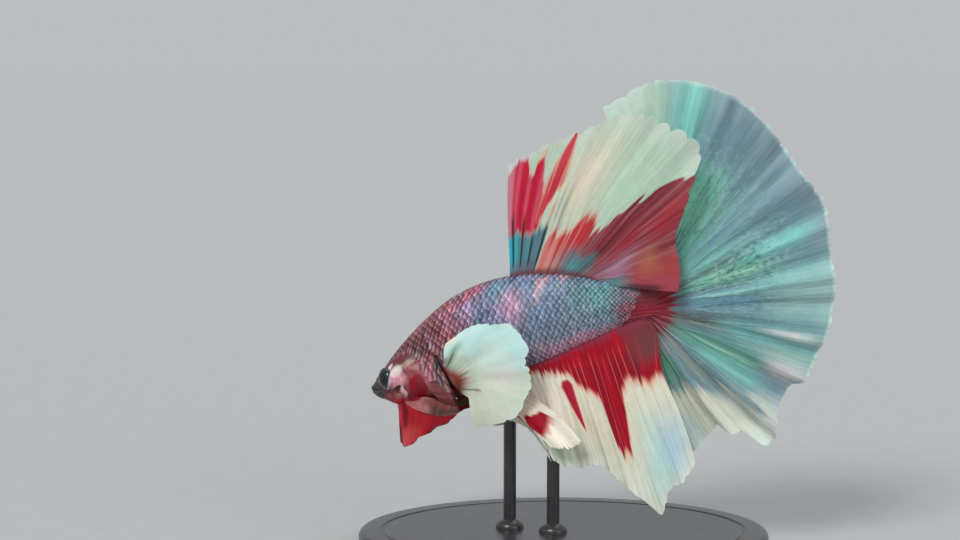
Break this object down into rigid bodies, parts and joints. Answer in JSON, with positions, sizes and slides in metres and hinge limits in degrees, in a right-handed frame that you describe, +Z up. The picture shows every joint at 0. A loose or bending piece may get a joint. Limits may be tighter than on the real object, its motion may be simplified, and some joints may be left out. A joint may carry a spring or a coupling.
{
  "type": "halfmoon betta fish model",
  "caption": "Life-size still model of a long-finned fighting fish with spread fins and lifted gill covers, held above an oval stand by short rods.",
  "frame": {"origin": "centre of the underside of the stand's base", "axes": "+Z up; the fish heads towards -X and shows its left side to -Y"},
  "size_m": [0.066, 0.044, 0.0665],
  "materials": {
    "skin_maroon": "wet scaled skin, maroon",
    "skin_blue": "wet scaled skin, steel blue with a metallic sheen",
    "skin_cheek": "smooth wet skin over bone, pinkish brown",
    "membrane_red": "thin wet membrane, bright red",
    "eye_dark": "clear wet cornea over a dark iris",
    "fin_teal": "thin rayed fin, teal with a pearly sheen",
    "fin_red": "thin rayed fin, deep red at the root",
    "fin_cream": "thin rayed fin, pearly cream white",
    "stand_black": "satin black"
  },
  "bodies": {
    "root": {"jaw_upper": "skin_maroon", "jaw_lower": "skin_maroon", "head": "skin_maroon", "trunk_front": "skin_blue", "trunk_rear": "skin_blue", "tail_stem": "skin_maroon", "gill_cover_left": "skin_cheek", "gill_cover_right": "skin_cheek", "gill_membrane_left": "membrane_red", "gill_membrane_right": "membrane_red", "eye_left": "eye_dark", "eye_right": "eye_dark", "dorsal_fin": "fin_teal", "caudal_fin": "fin_teal", "anal_fin": "fin_red", "pectoral_fin_left": "fin_cream", "pectoral_fin_right": "fin_cream", "pelvic_fin_left": "fin_cream", "pelvic_fin_right": "fin_cream", "stand_base": "stand_black", "stand_rod_front": "stand_black", "stand_rod_rear": "stand_black"}
  },
  "joints": []
}
